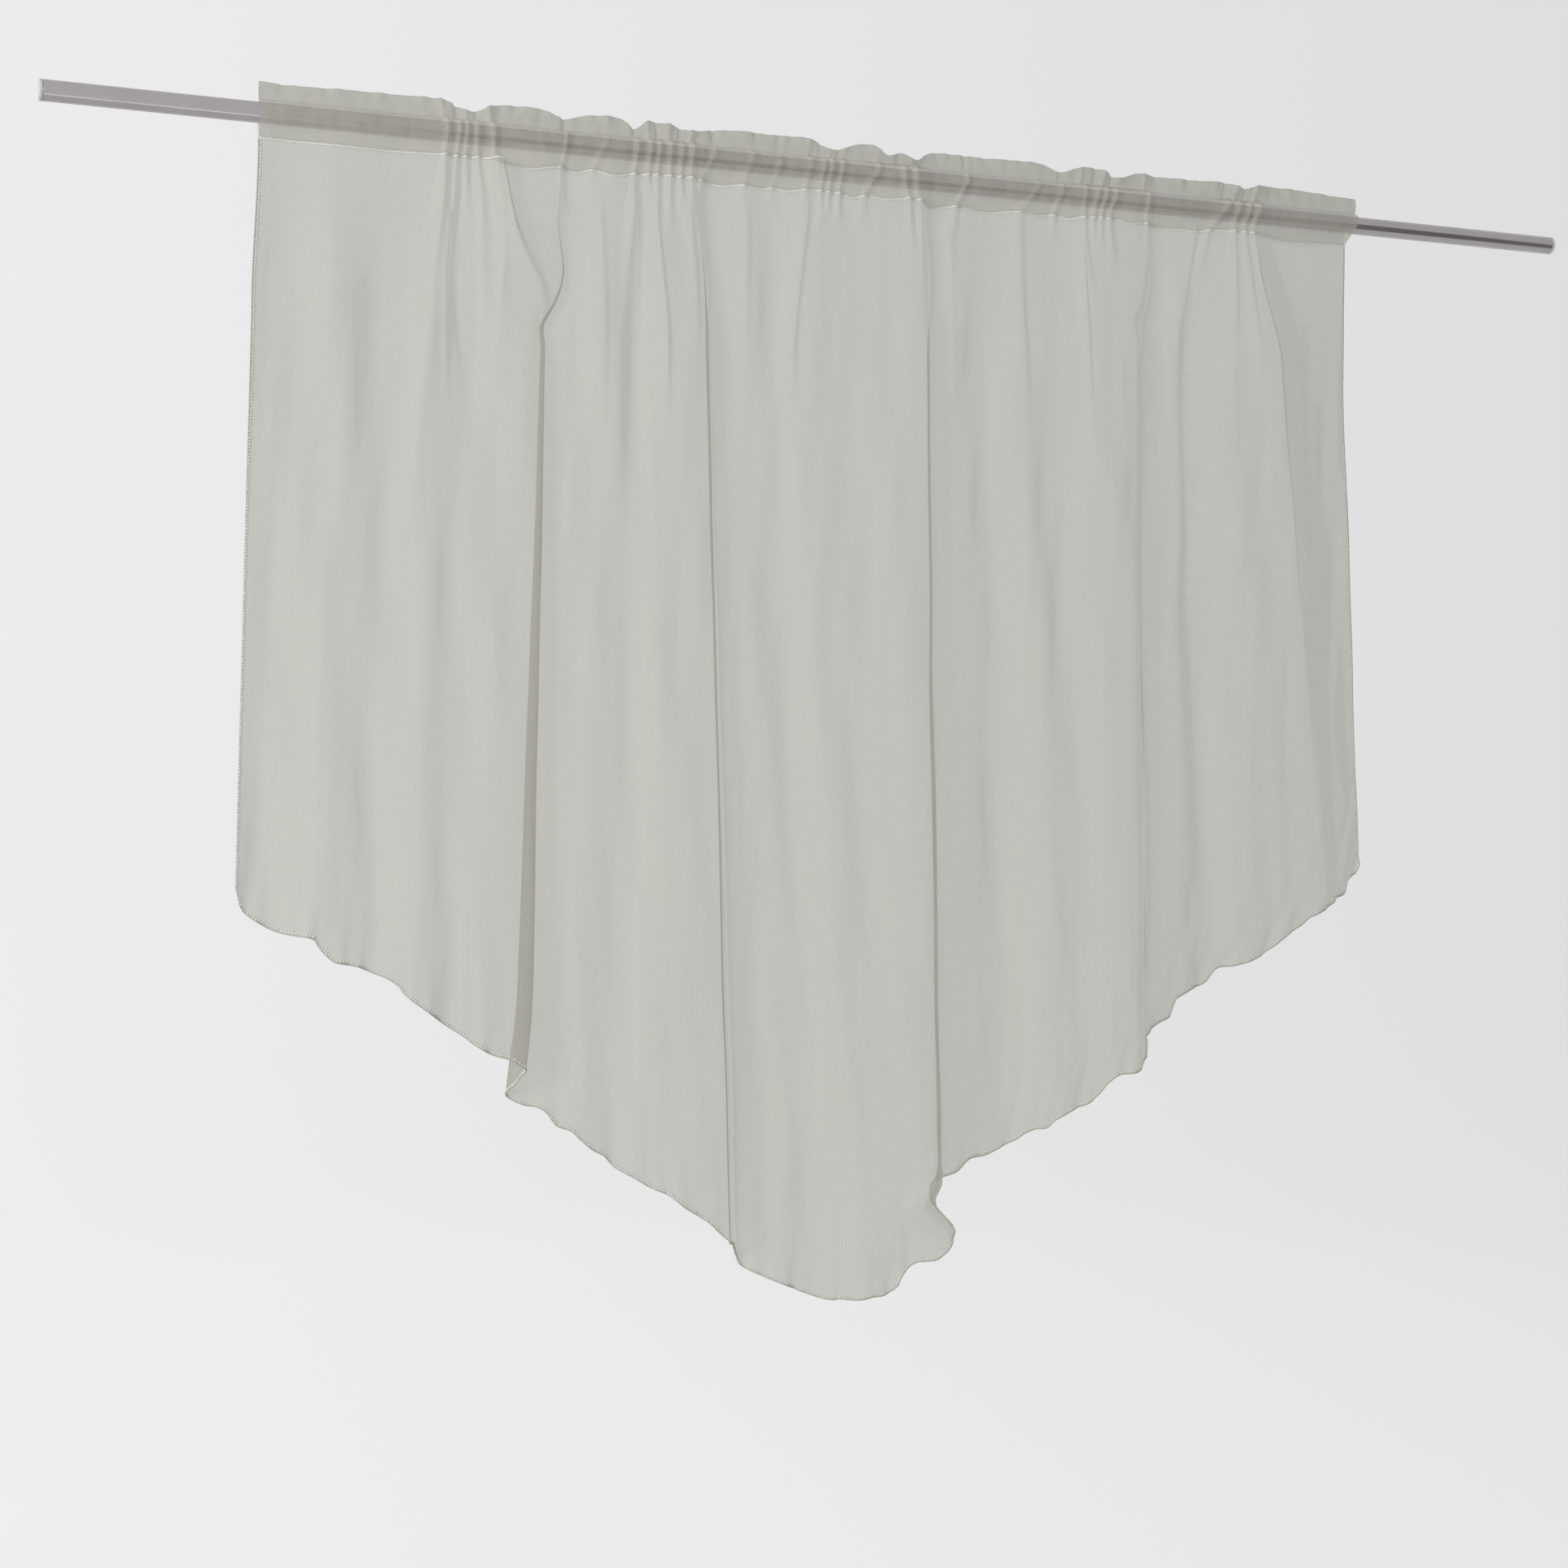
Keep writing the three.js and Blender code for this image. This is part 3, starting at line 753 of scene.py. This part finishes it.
def edge_roll(name, path, radius, rise, material):
    """A roll along an edge of the cloth, with turns that stand up by a share of its radius."""
    at, points, tangents = resampled(path, EDGE_STEP)
    side = np.cross(tangents[0], (0, 1, 0))
    sides = []
    for tangent in tangents:
        side = side - tangent * side.dot(tangent)
        side = side / np.linalg.norm(side)
        sides.append(side)
    sides = np.array(sides)
    others = np.cross(tangents, sides)
    angles = around(EDGE_SIDES)
    turns = 1 + rise * np.cos(angles[None, :] - (2 * np.pi * at / HEM_TURN_PITCH)[:, None])
    ring = sides[:, None] * np.cos(angles)[None, :, None]
    ring = ring + others[:, None] * np.sin(angles)[None, :, None]
    vertices = points[:, None] + radius * turns[..., None] * ring
    faces = grid_faces(len(points), EDGE_SIDES, closed=True)
    last = (len(points) - 1) * EDGE_SIDES
    faces.append(list(range(EDGE_SIDES)))
    faces.append(list(range(last + EDGE_SIDES - 1, last - 1, -1)))
    return mesh_piece(name, vertices.reshape(-1, 3), faces, material)


def free_edge(panel, inset):
    """The panel's free edge down one side, along the hem and up the other, or a line that far in
    from it, with the ways in from the edge."""
    left = panel[:, 1] - panel[:, 0]
    foot = panel[-2] - panel[-1]
    right = panel[:, -2] - panel[:, -1]
    edge = np.concatenate((panel[:, 0], panel[-1, 1:-1], panel[::-1, -1]))
    inward = unit(np.concatenate((left, foot[1:-1], right[::-1])))
    return edge + inset * inward, inward


def rolled_hem(panel, material):
    """The cloth rolled up down one side, along the hem and up the other."""
    edge = free_edge(panel, 0)[0]
    return edge_roll("rolled_hem", edge, HEM_RADIUS, HEM_TURN_RISE, material)


def pocket_edge(grid, first_panel_row, material):
    """The smooth edge of the pocket, sewn down along the lower seam. Its pale colour is partly the
    extra layers at the fold and partly a painted highlight along it.
    """
    path = grid[first_panel_row] + (0, -POCKET_EDGE_OUT, -POCKET_EDGE_DOWN)
    return edge_roll("pocket_edge", path, POCKET_EDGE_RADIUS, 0, material)


def seam_stitches(grid, first_panel_row, material):
    """Lines of stitches on both faces of the cloth, along the two seams of the heading and inside
    its free edge."""
    upper_back = FAR_EDGE_ROWS + BACK_ROWS
    upper_front = upper_back + 2 * RUFFLE_ROWS - 2
    lower_front = upper_front + FRONT_ROWS
    lower_back = FAR_EDGE_ROWS
    seams = []
    for row, side, up in ((upper_back, -1, 0), (upper_front, 1, 0),
                          (lower_front, 1, -LOWER_STITCH_AWAY), (lower_back, -1, LOWER_STITCH_AWAY)):
        path = grid[row] + (0, 0, up)
        seams.append((path, np.tile((0.0, 0.0, 1.0), (len(path), 1)), side, SEAM_STITCH))
    for side in (1, -1):
        seams.append((*free_edge(grid[first_panel_row:], HEM_STITCH_IN), side, HEM_STITCH))
    vertices = []
    faces = []
    angles = around(STITCH_SIDES)
    for path, inward, side, stitch in seams:
        at, points, tangents = resampled(path, stitch.pitch / STITCH_POINTS)
        length = along(*path.T)
        inward = np.stack([np.interp(at, length, c) for c in inward.T], -1)
        outward = side * unit(np.cross(tangents, inward))
        for middle in range(STITCH_START, len(points) - STITCH_START, STITCH_POINTS):
            other = np.cross(tangents[middle], outward[middle])
            centre = points[middle] + outward[middle] * STITCH_STANDS
            uneven = STITCH_UNEVEN * math.sin(FAST_BEAT * middle) * math.sin(SLOW_BEAT * middle)
            ring = np.cos(angles)[:, None] * outward[middle] + np.sin(angles)[:, None] * other
            ring = stitch.radius * (1 + uneven) * ring
            start = len(vertices)
            half = tangents[middle] * stitch.length / 2
            body = half * STITCH_BODY
            vertices.append(centre - half)
            vertices.extend(centre - body + ring)
            vertices.extend(centre + body + ring)
            vertices.append(centre + half)
            for k in range(STITCH_SIDES):
                a = start + 1 + k
                b = start + 1 + (k + 1) % STITCH_SIDES
                c = a + STITCH_SIDES
                d = b + STITCH_SIDES
                faces.extend(((start, b, a), (a, b, d, c), (c, d, start + 1 + 2 * STITCH_SIDES)))
    return mesh_piece("seam_stitches", vertices, faces, material)


def turned_piece(name, profile, side, material):
    """A piece turned from a profile of X and radius, mirrored to the left where side is -1."""
    angles = around(ROD_SIDES)
    profile = np.array(profile, float)
    x = np.repeat(profile[:, :1] * side, ROD_SIDES, 1)
    y = profile[:, 1:] * np.cos(angles) * side
    z = profile[:, 1:] * np.sin(angles)
    vertices = np.stack((x, y, z), -1).reshape(-1, 3)
    return mesh_piece(name, vertices, grid_faces(len(profile), ROD_SIDES, closed=True), material)


def rounded(x, radius, bevel, steps=5):
    """A quarter round of a profile that turns from along X to across it."""
    turns = np.linspace(0, np.pi / 2, steps)
    return [(x - bevel + bevel * math.sin(t), radius - bevel + bevel * math.cos(t)) for t in turns]


def rod_tube(material):
    bore = ROD_RADIUS - ROD_WALL
    rim = rounded(ROD_END, ROD_RADIUS, ROD_RIM, RIM_STEPS)
    outside = [(-x, r) for x, r in reversed(rim)] + rim
    profile = [(-ROD_END, bore)] + outside + [(ROD_END, bore), (-ROD_END, bore)]
    return turned_piece("satin_rod", profile, 1, material)


def end_plug(name, side, material):
    shoulder = PLUG_FACE - PLUG_CAP
    spigot = ROD_RADIUS - ROD_WALL - SPIGOT_PLAY
    inner = shoulder - PLUG_SPIGOT
    profile = [(inner, NEAR_AXIS), (inner, spigot), (shoulder, spigot)]
    profile += [(shoulder, ROD_RADIUS - PLUG_BEVEL), (shoulder + PLUG_BEVEL, ROD_RADIUS)]
    profile += rounded(PLUG_FACE, ROD_RADIUS, PLUG_ROUND)
    profile += [(PLUG_FACE - depth, ROD_RADIUS * share) for share, depth in PLUG_DISH]
    profile.append((PLUG_FACE - PLUG_DISH_DEPTH, NEAR_AXIS))
    return turned_piece(name, profile, side, material)


def node(tree, kind, links=None, **settings):
    """A shader node with its settings, and values or links for its inputs by name or number."""
    made = tree.nodes.new(kind)
    for key, value in settings.items():
        setattr(made, key, value)
    for key, value in (links or {}).items():
        if isinstance(value, bpy.types.NodeSocket):
            tree.links.new(value, made.inputs[key])
        else:
            made.inputs[key].default_value = value
    return made


def arithmetic(tree, operation, a, b=0.0, c=0.0):
    """A Math node's result."""
    return node(tree, "ShaderNodeMath", {0: a, 1: b, 2: c}, operation=operation).outputs[0]


def new_group(name, inputs, outputs):
    """An empty shader node group with float or vector inputs and float outputs."""
    group = bpy.data.node_groups.new(name, "ShaderNodeTree")
    for title, default in inputs:
        kind = "NodeSocketFloat" if isinstance(default, float) else "NodeSocketVector"
        socket = group.interface.new_socket(title, in_out="INPUT", socket_type=kind)
        socket.default_value = default
    for title in outputs:
        group.interface.new_socket(title, in_out="OUTPUT", socket_type="NodeSocketFloat")
    return group, group.nodes.new("NodeGroupInput"), group.nodes.new("NodeGroupOutput")


def drawn_lines_group():
    """Uneven lines drawn out along one way: slubs in yarn, brush marks on metal, flow in plastic."""
    group, given, made = new_group(
        "drawn_lines", [("Vector", (0, 0, 0)), ("Stretch", (1, 1, 1)), ("Detail", 2.0)], ["Line"])
    ends = {0: given.outputs["Vector"], 1: given.outputs["Stretch"]}
    scaled = node(group, "ShaderNodeVectorMath", ends, operation="MULTIPLY")
    noise = node(group, "ShaderNodeTexNoise", {
        "Vector": scaled.outputs[0], "Scale": 1.0,
        "Detail": given.outputs["Detail"], "Roughness": 0.55})
    centred = arithmetic(group, "SUBTRACT", noise.outputs[0], 0.5)
    doubled = arithmetic(group, "MULTIPLY", centred, 2.0)
    group.links.new(doubled, made.inputs["Line"])
    return group


def soft_mottle_group():
    """Slow uneven patches, about 1, for tone and shine."""
    group, given, made = new_group("soft_mottle", [("Size", 8.0), ("Amount", 0.1)], ["Tone"])
    where = node(group, "ShaderNodeTexCoord")
    noise = node(group, "ShaderNodeTexNoise", {
        "Vector": where.outputs["Object"], "Scale": given.outputs["Size"],
        "Detail": 3.0, "Roughness": 0.5})
    centred = arithmetic(group, "SUBTRACT", noise.outputs[0], 0.5)
    tone = arithmetic(group, "MULTIPLY_ADD", centred, given.outputs["Amount"], 1.0)
    group.links.new(tone, made.inputs["Tone"])
    return group


def lines_at(tree, lines, where, stretch, detail):
    """The drawn lines at a place, stretched along each axis."""
    links = {"Vector": where, "Stretch": stretch, "Detail": detail}
    return node(tree, "ShaderNodeGroup", links, node_tree=lines).outputs[0]


def mottled(tree, mottle, size, amount):
    """The tone of the soft mottle."""
    links = {"Size": size, "Amount": amount}
    return node(tree, "ShaderNodeGroup", links, node_tree=mottle).outputs[0]


def toned(tree, colour, tone):
    """A colour times a tone."""
    return node(tree, "ShaderNodeVectorMath", {0: colour, 3: tone}, operation="SCALE").outputs[0]


def new_material(name):
    material = bpy.data.materials.new(name)
    material.use_nodes = True
    tree = material.node_tree
    tree.nodes.clear()
    return material, tree, tree.nodes.new("ShaderNodeOutputMaterial").inputs["Surface"]


def surface(tree, out, values):
    """One principled shader as a material's surface."""
    shader = node(tree, "ShaderNodeBsdfPrincipled", values)
    tree.links.new(shader.outputs[0], out)


# Voile: thread pitch, how much of it is thread, how far threads, slubs and bands change that, tone
# and height of the slubs, colours of the thread and of the light through it, and the share of the
# cover that the far layer of the heading adds, where the threads of both layers line up
THREAD_PITCH = 0.5
COVER = 0.675
THREAD_COVER = 0.12
SLUB_COVER = 0.06
SLUB_TONE = 0.06
SLUB_HEIGHT = 0.8
BAND_COVER = 0.05
VOILE_COLOUR = (0.638, 0.626, 0.555)
GLOW_COLOUR = (0.638, 0.622, 0.548)
GLOW_SHARE = 0.45
FAR_LAYER_COVER = 0.57
# The pocket's front is painted paler by this share: painted light that lifts the shade its layers cast
# on each other
POCKET_PAINTED_LIGHT = 0.13
# Most light that meets the thin yarn carries on forward: the share of the cover that shadows and
# reflections don't meet
LET_THROUGH = 0.6


def voile_material(lines, mottle):
    """Sheer plain weave: thread and pores, slubs both ways, light through the thread."""
    material, tree, out = new_material("voile")
    cloth = node(tree, "ShaderNodeUVMap", uv_map="cloth").outputs[0]
    split = node(tree, "ShaderNodeSeparateXYZ", {0: cloth})
    turn = 2 * math.pi / (THREAD_PITCH * MM)
    warp = arithmetic(tree, "SINE", arithmetic(tree, "MULTIPLY", split.outputs[0], turn))
    weft = arithmetic(tree, "SINE", arithmetic(tree, "MULTIPLY", split.outputs[1], turn))
    threads = arithmetic(tree, "ADD", warp, weft)
    long_slubs = lines_at(tree, lines, cloth, (520, 9, 1), 3.0)
    cross_slubs = lines_at(tree, lines, cloth, (7, 430, 1), 3.0)
    slubs = arithmetic(tree, "ADD", long_slubs, cross_slubs)
    tone = mottled(tree, mottle, 5.0, 0.12)
    cover = arithmetic(tree, "MULTIPLY_ADD", threads, THREAD_COVER, COVER)
    cover = arithmetic(tree, "MULTIPLY_ADD", slubs, SLUB_COVER, cover)
    bands = lines_at(tree, lines, cloth, (90, 1.2, 1), 2.0)
    cover = arithmetic(tree, "MULTIPLY_ADD", bands, BAND_COVER, cover)
    cover = arithmetic(tree, "MULTIPLY", cover, tone)
    layer = node(tree, "ShaderNodeUVMap", uv_map="layer").outputs[0]
    part = node(tree, "ShaderNodeSeparateXYZ", {0: layer})
    share = arithmetic(tree, "MULTIPLY_ADD", part.outputs[0], FAR_LAYER_COVER - 1, 1.0)
    cover = arithmetic(tree, "MULTIPLY", cover, share)
    shade = arithmetic(tree, "MULTIPLY_ADD", slubs, SLUB_TONE, tone)
    # Painted light: the rows of the pocket's front are painted paler
    shade = arithmetic(tree, "MULTIPLY_ADD", part.outputs[1], POCKET_PAINTED_LIGHT, shade)
    weave = arithmetic(tree, "MULTIPLY", warp, weft)
    height = arithmetic(tree, "MULTIPLY_ADD", slubs, SLUB_HEIGHT, weave)
    bump = node(tree, "ShaderNodeBump", {"Height": height, "Strength": 0.25, "Distance": 0.0001})
    thread = node(tree, "ShaderNodeBsdfPrincipled", {
        "Base Color": toned(tree, VOILE_COLOUR, shade), "Roughness": 0.82, "Sheen Weight": 0.12,
        "Sheen Roughness": 0.4, "Specular IOR Level": 0.25, "Normal": bump.outputs[0]})
    glow = node(tree, "ShaderNodeBsdfTranslucent", {"Color": toned(tree, GLOW_COLOUR, shade)})
    yarn = node(tree, "ShaderNodeMixShader", {0: GLOW_SHARE, 1: thread.outputs[0], 2: glow.outputs[0]})
    pores = node(tree, "ShaderNodeBsdfTransparent")
    path = node(tree, "ShaderNodeLightPath")
    onward = arithmetic(tree, "MAXIMUM", path.outputs["Is Shadow Ray"], path.outputs["Is Glossy Ray"])
    met = arithmetic(tree, "MULTIPLY_ADD", onward, -LET_THROUGH, 1.0)
    cover = arithmetic(tree, "MULTIPLY", cover, met)
    whole = node(tree, "ShaderNodeMixShader", {0: cover, 1: pores.outputs[0], 2: yarn.outputs[0]})
    tree.links.new(whole.outputs[0], out)
    return material


# Colours of the other materials, how rough the nickel is and how far brush marks change that
THREAD_COLOUR = (0.92, 0.915, 0.87)
ROLLED_COLOUR = (0.6, 0.587, 0.525)
NICKEL_COLOUR = (0.44, 0.41, 0.423)
PLASTIC_COLOUR = (0.76, 0.755, 0.75)
NICKEL_ROUGH = 0.17
BRUSH_ROUGH = 0.1


def thread_material(name, colour, lines, mottle):
    """Spun sewing thread, or cloth rolled up so close that no light comes through."""
    material, tree, out = new_material(name)
    where = node(tree, "ShaderNodeTexCoord").outputs["Object"]
    fibres = lines_at(tree, lines, where, (900, 900, 900), 3.0)
    tone = mottled(tree, mottle, 160.0, 0.3)
    shade = arithmetic(tree, "MULTIPLY_ADD", fibres, 0.1, tone)
    bump = node(tree, "ShaderNodeBump", {"Height": fibres, "Strength": 0.3, "Distance": 0.0002})
    surface(tree, out, {
        "Base Color": toned(tree, colour, shade), "Roughness": 0.7, "Sheen Weight": 0.2,
        "Specular IOR Level": 0.3, "Normal": bump.outputs[0]})
    return material


def nickel_material(lines, mottle):
    """Satin nickel plate, brushed along the tube and a little uneven."""
    material, tree, out = new_material("satin_nickel")
    where = node(tree, "ShaderNodeTexCoord").outputs["Object"]
    brush = lines_at(tree, lines, where, (14, 2600, 2600), 4.0)
    tone = mottled(tree, mottle, 18.0, 0.16)
    shade = arithmetic(tree, "MULTIPLY_ADD", brush, 0.1, tone)
    even = arithmetic(tree, "MULTIPLY", tone, NICKEL_ROUGH)
    rough = arithmetic(tree, "MULTIPLY_ADD", brush, BRUSH_ROUGH, even)
    bump = node(tree, "ShaderNodeBump", {"Height": brush, "Strength": 0.12, "Distance": 0.0001})
    surface(tree, out, {
        "Base Color": toned(tree, NICKEL_COLOUR, shade), "Roughness": rough, "Metallic": 0.92,
        "Normal": bump.outputs[0]})
    return material


def plastic_material(lines, mottle):
    """Moulded satin plastic with faint flow lines."""
    material, tree, out = new_material("pale_plastic")
    where = node(tree, "ShaderNodeTexCoord").outputs["Object"]
    flow = lines_at(tree, lines, where, (120, 420, 420), 2.0)
    tone = mottled(tree, mottle, 90.0, 0.1)
    shade = arithmetic(tree, "MULTIPLY_ADD", flow, 0.03, tone)
    rough = arithmetic(tree, "MULTIPLY_ADD", flow, 0.06, 0.45)
    bump = node(tree, "ShaderNodeBump", {"Height": flow, "Strength": 0.1, "Distance": 0.0001})
    surface(tree, out, {
        "Base Color": toned(tree, PLASTIC_COLOUR, shade), "Roughness": rough,
        "Normal": bump.outputs[0]})
    return material


# Studio: a round pale floor that sweeps up into a wall and a ceiling, which rises from its rim
FLOOR = -2100
STAGE_RADIUS = 5200
STAGE_MIDDLE = 1.0
COVE = 1400
COVE_STEPS = 14
WALL_TOP = 3600
CEILING_RIM = 0.75 * STAGE_RADIUS
CEILING_RIM_HEIGHT = 5100
CEILING = 5600
STAGE_SIDES = 96

# Glow of the sweep, which fades to the right, and soft light from all around
PALE_LIGHT = (0.995, 1.0, 0.995, 1.0)
SWEEP_COLOUR = (0.08, 0.08, 0.08)
SWEEP_GLOW = 0.76
SWEEP_FADE = 0.029
DOME_LIGHT = 0.378

# Key lamp, to the left of the camera
KEY_PLACE = (-4200, -2700, 100)
KEY_TARGET = (0, 0, -550)
KEY_SIZE = (1500, 2200)
KEY_POWER = 107


def studio(mottle):
    """The pale sweep around the part, and the soft light."""
    material, tree, out = new_material("pale_sweep")
    tone = mottled(tree, mottle, 0.8, 0.03)
    where = node(tree, "ShaderNodeTexCoord").outputs["Object"]
    split = node(tree, "ShaderNodeSeparateXYZ", {0: where})
    fade = arithmetic(tree, "MULTIPLY_ADD", split.outputs[0], -SWEEP_FADE, 1.0)
    surface(tree, out, {
        "Base Color": toned(tree, SWEEP_COLOUR, tone), "Roughness": 0.9,
        "Emission Color": toned(tree, PALE_LIGHT[:3], fade), "Emission Strength": SWEEP_GLOW})
    turns = np.linspace(0, np.pi / 2, COVE_STEPS)
    inner = STAGE_RADIUS - COVE
    profile = [(STAGE_MIDDLE, FLOOR), (inner / 2, FLOOR)]
    profile += [(inner + COVE * math.sin(t), FLOOR + COVE - COVE * math.cos(t)) for t in turns]
    profile += [(STAGE_RADIUS, WALL_TOP), (CEILING_RIM, CEILING_RIM_HEIGHT), (STAGE_MIDDLE, CEILING)]
    angles = around(STAGE_SIDES)
    vertices = [(r * math.cos(a), r * math.sin(a), z) for r, z in profile for a in angles]
    faces = grid_faces(len(profile), STAGE_SIDES, closed=True)
    sweep = mesh_piece("pale_sweep", vertices, faces, material)
    sweep.visible_shadow = False
    sweep.visible_diffuse = False
    world = bpy.data.worlds.new("soft_light")
    world.use_nodes = True
    dome = world.node_tree.nodes["Background"]
    dome.inputs["Color"].default_value = PALE_LIGHT
    dome.inputs["Strength"].default_value = DOME_LIGHT
    bpy.context.scene.world = world
    bpy.context.scene.view_settings.view_transform = "Standard"


def soft_box(name, place, target, size, power):
    """A large rectangular lamp that faces a point, both in millimetres."""
    lamp = bpy.data.lights.new(name, "AREA")
    lamp.shape = "RECTANGLE"
    lamp.size, lamp.size_y = (side * MM for side in size)
    lamp.energy = power
    lit = placed(name, lamp)
    place = np.array(place) * MM
    towards = np.array(target) * MM - place
    flat = math.hypot(towards[0], towards[1])
    tilt = math.atan2(flat, -towards[2])
    turn = math.atan2(towards[1], towards[0]) - math.pi / 2
    lit.location = place
    lit.rotation_euler = (tilt, 0, turn)
    lit.visible_camera = False


# Boards laid in front of the curtain that show in the rod alone: X of their ends, Y and Z of their
# near and far edges, and how bright they are
Board = namedtuple("Board", "name left right near_y near_z far_y far_z glow")
BOARDS = [
    Board("dark_flag", 2650, 5000, -2900, 560, -1350, -2000, 0.15),
    Board("dim_flag", -420, 2650, -2900, -380, -1350, -2000, 0.1),
    Board("light_strip", -2400, -480, -1690, -2050, -1409, -2050, 1.9),
    Board("grey_flag", -2400, -480, -1409, -2050, 2000, -2050, 0.7),
]
BOARD_COLOUR = (0.02, 0.02, 0.02)


def rod_board(board, mottle):
    material, tree, out = new_material(board.name)
    tone = mottled(tree, mottle, 2.0, 0.1)
    surface(tree, out, {
        "Base Color": toned(tree, BOARD_COLOUR, tone), "Roughness": 0.9,
        "Emission Color": PALE_LIGHT, "Emission Strength": board.glow})
    corners = [(board.left, board.near_y, board.near_z), (board.right, board.near_y, board.near_z),
               (board.right, board.far_y, board.far_z), (board.left, board.far_y, board.far_z)]
    made = mesh_piece(board.name, corners, [(0, 1, 2, 3)], material, smooth_faces=False)
    made.visible_camera = False
    made.visible_diffuse = False
    made.visible_transmission = False
    made.visible_shadow = False


# Camera, as in the photograph: level, and turned to the right
CAMERA_PLACE = (-1055.5, -2324.9, -657.7)
CAMERA_TURN = 21.437
LENS = 50
SENSOR = 36
IMAGE_SIZE = 1932
HORIZON_ROW = 912


def photo_camera():
    camera = bpy.data.cameras.new("photo_camera")
    camera.lens = LENS
    camera.sensor_width = SENSOR
    camera.shift_y = (HORIZON_ROW - IMAGE_SIZE / 2) / IMAGE_SIZE
    seen = placed("photo_camera", camera)
    seen.location = np.array(CAMERA_PLACE) * MM
    seen.rotation_euler = (math.pi / 2, 0, -math.radians(CAMERA_TURN))
    bpy.context.scene.camera = seen


photo_camera()
drawn_lines = drawn_lines_group()
soft_mottle = soft_mottle_group()
studio(soft_mottle)
soft_box("key", KEY_PLACE, KEY_TARGET, KEY_SIZE, KEY_POWER)
for board in BOARDS:
    rod_board(board, soft_mottle)

voile = voile_material(drawn_lines, soft_mottle)
thread = thread_material("sewing_thread", THREAD_COLOUR, drawn_lines, soft_mottle)
rolled = thread_material("rolled_voile", ROLLED_COLOUR, drawn_lines, soft_mottle)
nickel = nickel_material(drawn_lines, soft_mottle)
plastic = plastic_material(drawn_lines, soft_mottle)

cloth, cloth_grid, panel_start = curtain_cloth(voile)
hem = rolled_hem(cloth_grid[panel_start:], rolled)
# The pocket's folded edge takes the pale thread's colour: the real extra layers at the fold, with a
# painted highlight along it
pocket_foot = pocket_edge(cloth_grid, panel_start, thread)
stitches = seam_stitches(cloth_grid, panel_start, thread)
tube = rod_tube(nickel)
plug_right = end_plug("right_end_plug", 1, plastic)
plug_left = end_plug("left_end_plug", -1, plastic)

for piece, slot in ((cloth, "voile"), (hem, "voile"), (pocket_foot, "voile"), (stitches, "voile"),
                    (tube, "satin_nickel"), (plug_right, "pale_plastic"), (plug_left, "pale_plastic")):
    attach(piece, BODY)
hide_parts("curtain")
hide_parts("rod")
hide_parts("plug_right")
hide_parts("plug_left")
